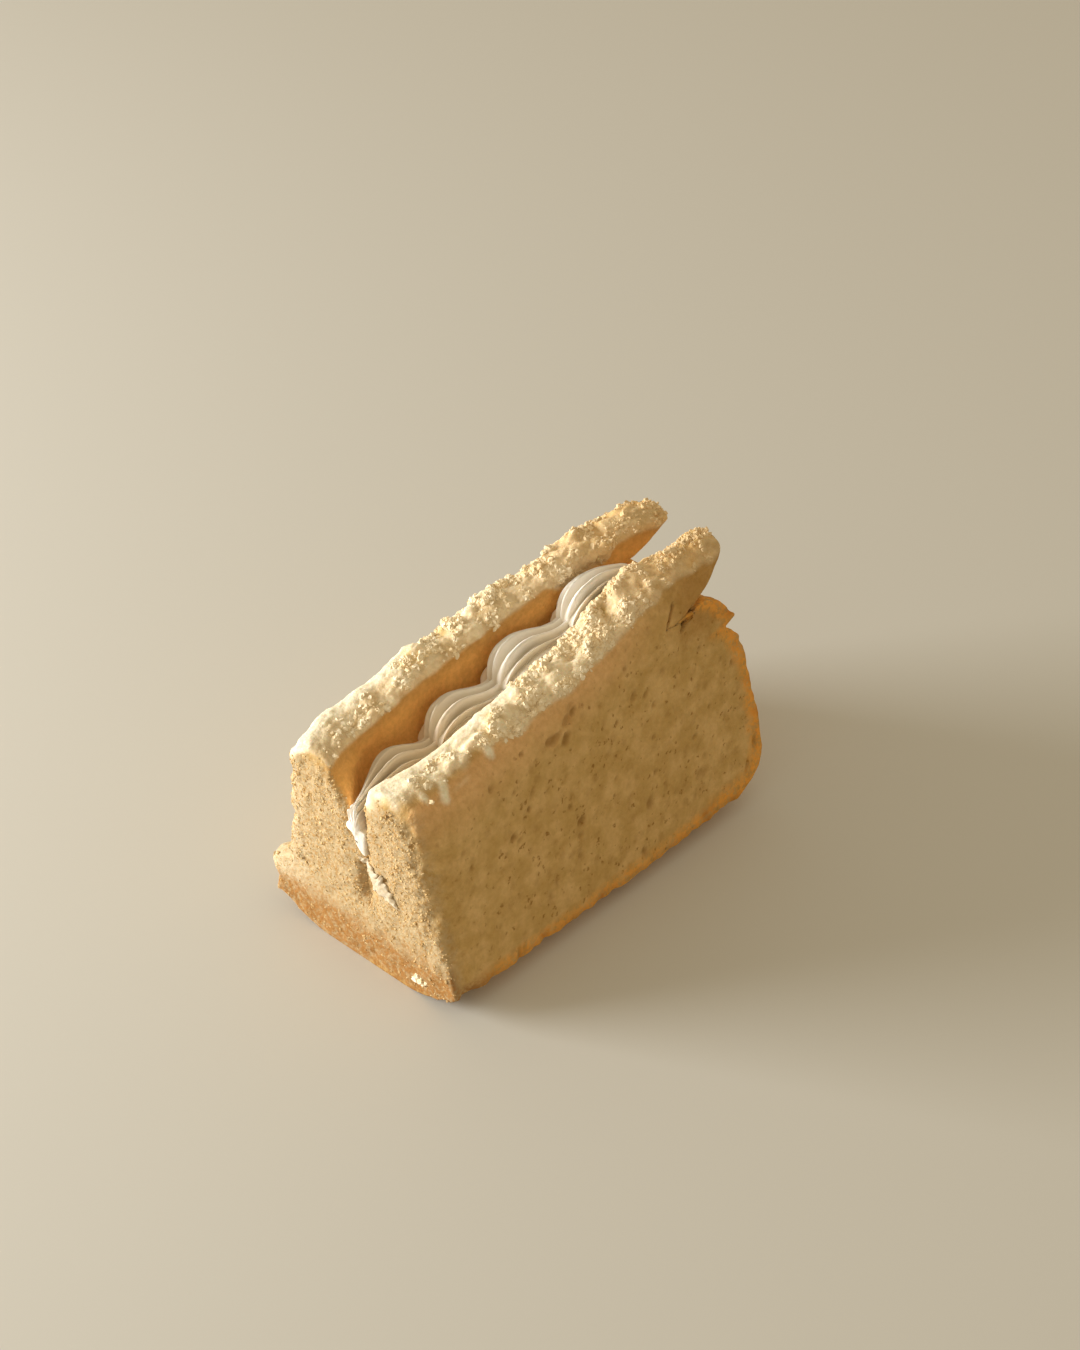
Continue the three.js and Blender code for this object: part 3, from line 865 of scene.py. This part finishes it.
# a ridged half ellipse that swells and shrinks along each shell, under it the slit's own width
def creamSurface(turn, shells, c):
    starts = np.array(c["starts"])
    shell = np.minimum(np.floor(shells), len(starts) - 2).astype(int)
    run = 0.5 - 0.5 * np.cos(np.pi * (shells - shell))
    x = mix(starts[shell], starts[shell + 1], run)
    first = np.expand_dims(shell == 0, 0)
    front, later = (np.array(c[name])[:, None, None] for name in ("front", "shell"))
    heel, swell, fall = np.where(first, front, later)
    bulge = mix(heel, 1, rounded(run / swell)) * (1 - c["tailShrink"] * ease(fall, 1, run))
    inside = np.maximum(0, x)
    close = rounded((x - starts[0]) / c["nose"]) ** 0.6 * rounded((starts[-1] - x) / c["tail"])
    shoulder = topAt(inside) - crestDropAt(x) - c["rise"]
    nearSide = slitWall(inside, shoulder, True) + c["gap"] + plan["mouthShift"] * ease(11, 2, inside)
    farSide = slitWall(inside, shoulder, False) - c["gap"]
    middle = mix(nearSide, farSide, c["middle"])
    sine, cosine = np.abs(np.sin(turn)), np.cos(turn)
    side = np.where(cosine > 0, mix(0.4, 1, bulge), mix(0.8, 1, bulge)) * close
    foot = mix(slitFloorAt(inside), topAt(inside), c["foot"])
    groove = ridgeGroove(turn, c)
    ridge = 1 - c["ridgeDepth"] * groove * unit(3 * sine)
    bulgeY = np.where(cosine > 0, farSide - middle, middle - nearSide)
    upY = middle + bulgeY * np.sign(cosine) * np.abs(cosine) ** 0.7 * ridge * side
    upZ = shoulder + c["rise"] * (0.05 + 0.95 * bulge) * (0.55 + 0.45 * close) * sine**0.85 * ridge
    lowZ = mix(shoulder, foot, sine)
    nearLow = slitWall(inside, lowZ, True) + c["gap"]
    farLow = slitWall(inside, lowZ, False) - c["gap"]
    core = mix(nearLow, farLow, c["middle"])
    half = np.maximum(0.12, np.where(cosine > 0, farLow - core, core - nearLow))
    lowY = core + np.sign(cosine) * half * side * unit(5 * np.abs(cosine))
    up = turn < np.pi
    y, z = np.where(up, upY, lowY), np.where(up, upZ, lowZ)
    slant = c["slant"] * (y - middle) * unit((z - shoulder) / 4)
    slant = slant * ease(2, 10, x) * ease(90, 82, x)
    spread = close**0.35
    spreadY = mix(middle, y, spread)
    share = unit((spreadY - nearSide) / (farSide - nearSide))
    spreadY = spreadY + c["noseTurn"] * ease(0.4, 1, share) * ease(0.5, -1, x)
    x = np.where(x < 0, x * mix(*c["noseReach"], share), x)
    return np.stack([x + slant, spreadY, mix(mix(foot, shoulder, 0.6), z, spread)], -1)


def makeCream(c):
    over = np.linspace(0, np.pi, c["ridges"] * c["ridgeSteps"], endpoint=False)
    under = np.linspace(np.pi, 2 * np.pi, c["fillingSteps"], endpoint=False)
    turn = np.concatenate([over, under])
    count = len(c["starts"]) - 1
    shells = np.linspace(0, count, count * c["shellSteps"] + 1)[1:-1]
    grid = creamSurface(*np.meshgrid(turn, shells), c)
    tips = creamSurface(np.zeros((1, 2)), np.array([[0.0, count]]), c)[0]
    rows, around = grid.shape[:2]
    points = np.concatenate([grid.reshape(-1, 3), tips])
    quads = tubeQuads(rows, around)
    caps = tubeCaps(rows, around, 0, (rows * around, rows * around + 1))
    normals = vertexNormals(points, np.concatenate([quads, caps[:, [0, 1, 2, 2]]]))
    ripple = wave(points, c["ripple"], 300) + wave(points, c["grain"], 310)
    points = points + normals * ripple[:, None]
    piece = meshPiece("piped_cream", points, quads.tolist() + caps.tolist())
    # painted shade in the grooves between ridges
    ring = np.where(turn < np.pi, ridgeGroove(turn, c), 0.5) * ease(0.04, 0.3, np.abs(np.sin(turn)))
    shown = ease(0, 7, points[:-2, 0]) * np.tile(ring, rows)
    addMask(piece, "groove", np.concatenate([shown, (0, 0)]))
    # painted shade: cream darker and warmer over the first shells, where the slit shades them and the walls
    # bounce orange light, and partly at its lit front
    addMask(piece, "warmShade", ease(46, 24, points[:, 0]) * mix(0.3, 1, ease(1, 8, points[:, 0])))
    return piece


# cream smeared over the pale end's crack: a flat ragged strip along a path

smear = {
    # path on the end: Y, height, half width
    "path": [
        (1.6, 31.8, 0.6), (0, 31.0, 1.4), (-2.0, 29.6, 2.3), (-3.6, 28.0, 3.0), (-5.8, 26.8, 2.9),
        (-8.3, 25.4, 2.2), (-10.6, 23.4, 0.9),
    ],
    "thick": 0.5,
    "sunk": 0.8,
    "raised": 0.1,
    "ragged": ((1.3, 0.6), (0.5, 0.4)),  # size and share of each noise
    "fray": (0.9, 0.3),
    "around": 20,
    "long": 70,
}


# ring round the path: across it has the half width, outwards the thickness; X comes from the skin
def makeSmear(c, skin):
    long, around = c["long"], c["around"]
    order = np.arange(len(c["path"]))
    run = np.linspace(0, order[-1], long)
    y, z, half = (curveThrough(list(zip(order, column)))(run) for column in zip(*c["path"]))
    slope = np.stack([np.gradient(y), np.gradient(z)], -1)
    slope = slope / np.linalg.norm(slope, axis=-1, keepdims=True)
    turn = 2 * np.pi * np.arange(around) / around
    taper = np.sqrt(np.sin(np.pi * np.linspace(0.004, 0.996, long)))
    flat = np.stack([0 * run, y, z], -1)
    broad, narrow = c["ragged"]
    ragged = half * taper * (1 + wave(flat, broad, 400) + wave(flat, narrow, 410))
    offset = np.cos(turn) * ragged[:, None]
    ringY = y[:, None] - slope[:, 1, None] * offset
    ringZ = z[:, None] + slope[:, 0, None] * offset
    shown = skin.points[skin.end > 0.2]
    gap = (ringY.reshape(-1, 1) - shown[:, 1]) ** 2 + (ringZ.reshape(-1, 1) - shown[:, 2]) ** 2
    nearest = np.argpartition(gap, 6, axis=1)[:, :6]
    ringX = shown[nearest, 0].min(1).reshape(ringY.shape)
    out = np.sin(turn)
    lift = np.where(out > 0, c["thick"], c["sunk"]) * out * taper[:, None]
    points = np.stack([ringX - lift - c["raised"], ringY, ringZ], -1).reshape(-1, 3)
    points = points + pushed(points, c["fray"], 420)
    quads = tubeQuads(long, around)[:, [0, 3, 2, 1]]
    first = np.arange(around)
    last = first + (long - 1) * around
    faces = quads.tolist() + [first[::-1].tolist(), last.tolist()]
    return meshPiece("cream_smear", points, faces)


# finishes: a colour, or a colour and the share in which it covers the mask of its name

spongeFinish = {
    # cut crumb: darker and more orange than the pale end, partly its own colour and partly painted shade for
    # the near cut face
    "crumb": (0.57, 0.375, 0.14),
    "crumbLight": (0.75, 0.52, 0.24),
    # painted light: the far cut face, which the key lights, is multiplied paler and less orange than the
    # shaded near face
    "litFarTint": (0.94, 0.99, 1.2),
    # painted glow on the cut faces under the crown
    "upperGlow": ((0.88, 0.55, 0.28), 0.6),
    # painted shade on the cut faces under the horns
    "hornShade": ((0.45, 0.245, 0.07), 0.7),
    "endCrumb": (0.515, 0.4, 0.243),
    "endGrain": (0.44, 0.265, 0.105),
    # painted shade on the walls of the slit
    "slit": ((0.64, 0.36, 0.12), 1.0),
    "soft": (0.93, 0.86, 0.68),
    "torn": (0.97, 0.84, 0.62),
    "tornRipe": (0.78, 0.54, 0.26),
    # painted glow deep in the slit
    "deep": ((0.97, 0.55, 0.18), 0.95),
    "gold": ((0.62, 0.44, 0.17), 0.8),
    "crust": (0.82, 0.39, 0.08),
    "darkCrust": (0.5, 0.2, 0.04),
    "endCrust": (0.35, 0.175, 0.055),
    # painted shade for recesses: pores, holes, dents
    "pitShade": ((0.3, 0.155, 0.04), 0.75),
    "speckle": ((0.88, 0.85, 0.8), (1.06, 1.06, 1.08)),
    "wobble": (0.9, 1.9),  # small pores stray by a noise: size, reach
}

looseFinish = {"dark": (0.95, 0.8, 0.55), "light": (0.98, 0.91, 0.75), "ripe": 0.55}

grainFinish = {"dark": (0.58, 0.39, 0.18), "light": (0.76, 0.59, 0.35), "ripe": 0.0}

creamFinish = {
    "patch": 5,  # mm
    "light": (0.98, 0.97, 0.97),
    "shade": (0.95, 0.93, 0.9),
    # painted shade over the first shells
    "warmShade": ((0.76, 0.62, 0.44), 0.7),
    # painted shade in the grooves
    "groove": ((0.6, 0.52, 0.38), 0.7),
}

smearFinish = {"patch": 1.2, "light": (0.68, 0.6, 0.48), "shade": (0.58, 0.47, 0.32)}


# a material in short calls: feed links or sets a socket, node adds a node and gives back one output,
# join ties the ends to the shader
class Finish:
    def __init__(self, name):
        self.material = bpy.data.materials.new(name)
        self.material.use_nodes = True
        self.tree = self.material.node_tree
        self.shader = self.tree.nodes["Principled BSDF"]
        self.place = self.node("ShaderNodeTexCoord", "Object", {})

    def feed(self, socket, value):
        if isinstance(value, bpy.types.NodeSocket):
            self.tree.links.new(value, socket)
        else:
            socket.default_value = value

    def node(self, kind, output, inputs, **settings):
        made = self.tree.nodes.new(kind)
        for name, value in settings.items():
            setattr(made, name, value)
        for name, value in inputs.items():
            self.feed(made.inputs[name], value)
        return made.outputs[output]

    def noise(self, size, detail=3.0, roughness=0.55, output="Fac"):
        inputs = {"Vector": self.place, "Scale": 1 / (size * mm), "Detail": detail, "Roughness": roughness}
        return self.node("ShaderNodeTexNoise", output, inputs)

    def cells(self, size, place):
        return self.node("ShaderNodeTexVoronoi", "Distance", {"Vector": place, "Scale": 1 / (size * mm)})

    # place moved by a noise and drawn out along an axis that leans towards +X
    def drawnPlace(self, lean, stretch, size, reach):
        inputs = {0: self.noise(size, 2, 0.5, "Color"), 1: (reach * mm,) * 3, 2: self.place}
        moved = self.node("ShaderNodeVectorMath", "Vector", inputs, operation="MULTIPLY_ADD")
        inputs = {"Vector": moved, "Rotation": (0, math.radians(lean), 0), "Scale": (1, 1, stretch)}
        return self.node("ShaderNodeMapping", "Vector", inputs, vector_type="TEXTURE")

    def mask(self, name):
        return self.node("ShaderNodeAttribute", "Fac", {}, attribute_name=name)

    def band(self, value, low, high, start=0.0, end=1.0):
        inputs = {"Value": value, "From Min": low, "From Max": high, "To Min": start, "To Max": end}
        return self.node("ShaderNodeMapRange", "Result", inputs, interpolation_type="SMOOTHSTEP")

    def times(self, first, second):
        return self.node("ShaderNodeMath", "Value", {0: first, 1: second}, operation="MULTIPLY")

    # sockets 6 and 7 are the two colours, output 2 the blended one
    def blend(self, share, first, second, kind="MIX"):
        first, second = ((*part, 1) if isinstance(part, tuple) else part for part in (first, second))
        inputs = {"Factor": share, 6: first, 7: second}
        return self.node("ShaderNodeMix", 2, inputs, data_type="RGBA", blend_type=kind)

    # lays a colour over the base, as a mask says
    def tint(self, base, name, colour, share):
        return self.blend(self.times(self.mask(name), share), base, colour)

    def bump(self, height, strength, distance, **over):
        inputs = {"Height": height, "Strength": strength, "Distance": distance * mm, **over}
        return self.node("ShaderNodeBump", "Normal", inputs)

    def scatter(self, weight, radius, scale):
        for name, value in (("Weight", weight), ("Radius", radius), ("Scale", scale * mm)):
            self.shader.inputs["Subsurface " + name].default_value = value

    def join(self, base, roughness, normal, specular):
        names = ("Base Color", "Roughness", "Normal", "Specular IOR Level")
        for name, value in zip(names, (base, roughness, normal, specular)):
            self.feed(self.shader.inputs[name], value)
        return self.material


def spongeMaterial(f, c):
    m = Finish("chiffon sponge")
    slow, grain, fine = m.noise(7), m.noise(1.3, 4, 0.65), m.noise(0.45, 3, 0.6)
    base = m.blend(m.band(m.noise(5, 3, 0.5), 0.35, 0.7, 0, 0.7), f["crumb"], f["crumbLight"])
    # painted light: the lit far cut face is made paler than the shaded near one
    base = m.blend(m.mask("litFar"), base, f["litFarTint"], "MULTIPLY")
    # cut face: painted shade in small pores, in patches, and in faint wider ones
    drawn = m.drawnPlace(c["poreSlant"], c["poreStretch"], *f["wobble"])
    crowded = m.band(m.noise(2.4), 0.42, 0.58)
    smallPore = m.times(m.band(m.cells(1.7, drawn), 0.1, 0.32, 0.85, 0), crowded)
    widePore = m.band(m.cells(3.4, drawn), 0.08, 0.4, 0.24, 0)
    for pore in (smallPore, widePore):
        base = m.blend(m.times(pore, m.mask("cut")), base, f["pitShade"][0])
    # painted glow under the crown, then painted shade on the cut faces round the horns
    for name in ("upperGlow", "hornShade"):
        base = m.tint(base, name, *f[name])
    # pale end: light crumb with fine darker grains
    granular = m.blend(m.band(m.noise(1.1, 4, 0.6), 0.46, 0.66), f["endCrumb"], f["endGrain"])
    base = m.blend(m.mask("end"), base, granular)
    # painted shade on the slit walls
    base = m.tint(base, "slit", *f["slit"])
    tear = m.blend(m.mask("ripe"), f["torn"], f["tornRipe"])
    tear = m.blend(m.mask("crumbly"), f["soft"], tear)
    base = m.blend(m.mask("torn"), base, tear)
    # painted glow deep in the slit, then the yellow lumps' own colour
    for name in ("deep", "gold"):
        base = m.tint(base, name, *f[name])
    # crust: browned in grains, with darker patches
    browning = m.times(m.mask("brown"), m.band(grain, 0.34, 0.58, 0.2, 1.0))
    crust = m.blend(m.band(slow, 0.5, 0.8), f["crust"], f["darkCrust"])
    crust = m.blend(m.mask("pale"), crust, f["endCrust"])
    base = m.blend(browning, base, crust)
    # painted shade in pores, holes, dents and the hollow
    base = m.tint(base, "pitShade", *f["pitShade"])
    # speckle and bumps all over, calmer on the cut faces
    rough = m.band(m.mask("cut"), 0, 1, 1, 0.65)
    base = m.blend(rough, base, m.blend(m.band(grain, 0.3, 0.7), *f["speckle"]), "MULTIPLY")
    normal = m.bump(m.times(grain, rough), 0.35, 0.6)
    normal = m.bump(m.times(m.cells(0.9, m.place), rough), 0.2, 0.5, Normal=normal)
    normal = m.bump(m.times(fine, rough), 0.35, 0.3, Normal=normal)
    m.scatter(0.3, (1.0, 0.7, 0.45), 1.2)
    return m.join(base, m.band(fine, 0.3, 0.7, 0.82, 0.97), normal, 0.1)


def crumbMaterial(name, f, sponge):
    m = Finish(name)
    grain, fine = m.noise(1.1, 4, 0.6), m.noise(0.4, 3, 0.6)
    base = m.blend(m.mask("tone"), f["dark"], f["light"])
    base = m.tint(base, "ripe", sponge["tornRipe"], f["ripe"])
    base = m.blend(m.band(grain, 0.35, 0.65, 0, 0.25), base, sponge["crumb"])
    return m.join(base, m.band(fine, 0.3, 0.7, 0.9, 1.0), m.bump(fine, 0.4, 0.25), 0.05)


def creamMaterial(name, f):
    m = Finish(name)
    fine = m.noise(0.8)
    base = m.blend(m.band(m.noise(f["patch"], 2), 0.35, 0.7), f["light"], f["shade"])
    # painted shade over the first shells, then painted shade in the grooves
    for mask in ("warmShade", "groove"):
        if mask in f:
            base = m.tint(base, mask, *f[mask])
    m.scatter(0.15, (1.0, 0.8, 0.6), 0.5)
    return m.join(base, m.band(fine, 0.3, 0.7, 0.42, 0.6), m.bump(fine, 0.25, 0.25), 0.35)


def dress(piece, material):
    piece.data.materials.append(material)
    print(piece.name, len(piece.data.polygons), "faces")


sponge, skin = makeSponge(crumb)
dress(sponge, spongeMaterial(spongeFinish, crumb))
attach(sponge, "root")
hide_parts("cake")

# crumbs gather in patches of the tear, fewer towards the horns
clustered = skin.crumbly**2 * ease(-0.2, 0.3, waver(skin.points, 4.4, 500))
clustered = clustered * mix(1, 0.4, ease(60, 85, skin.points[:, 0]))
crumbPiece = makeCrumbs("torn_crumbs", tornCrumbs, skin, clustered)
dress(crumbPiece, crumbMaterial("loose crumb", looseFinish, spongeFinish))
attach(crumbPiece, "root")

grainPiece = makeCrumbs("end_grains", endGrains, skin, skin.end**2)
dress(grainPiece, crumbMaterial("end grain", grainFinish, spongeFinish))
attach(grainPiece, "root")

cream = makeCream(piping)
dress(cream, creamMaterial("whipped cream", creamFinish))
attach(cream, "root")
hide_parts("cream")

smearPiece = makeSmear(smear, skin)
dress(smearPiece, creamMaterial("smeared cream", smearFinish))
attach(smearPiece, "root")
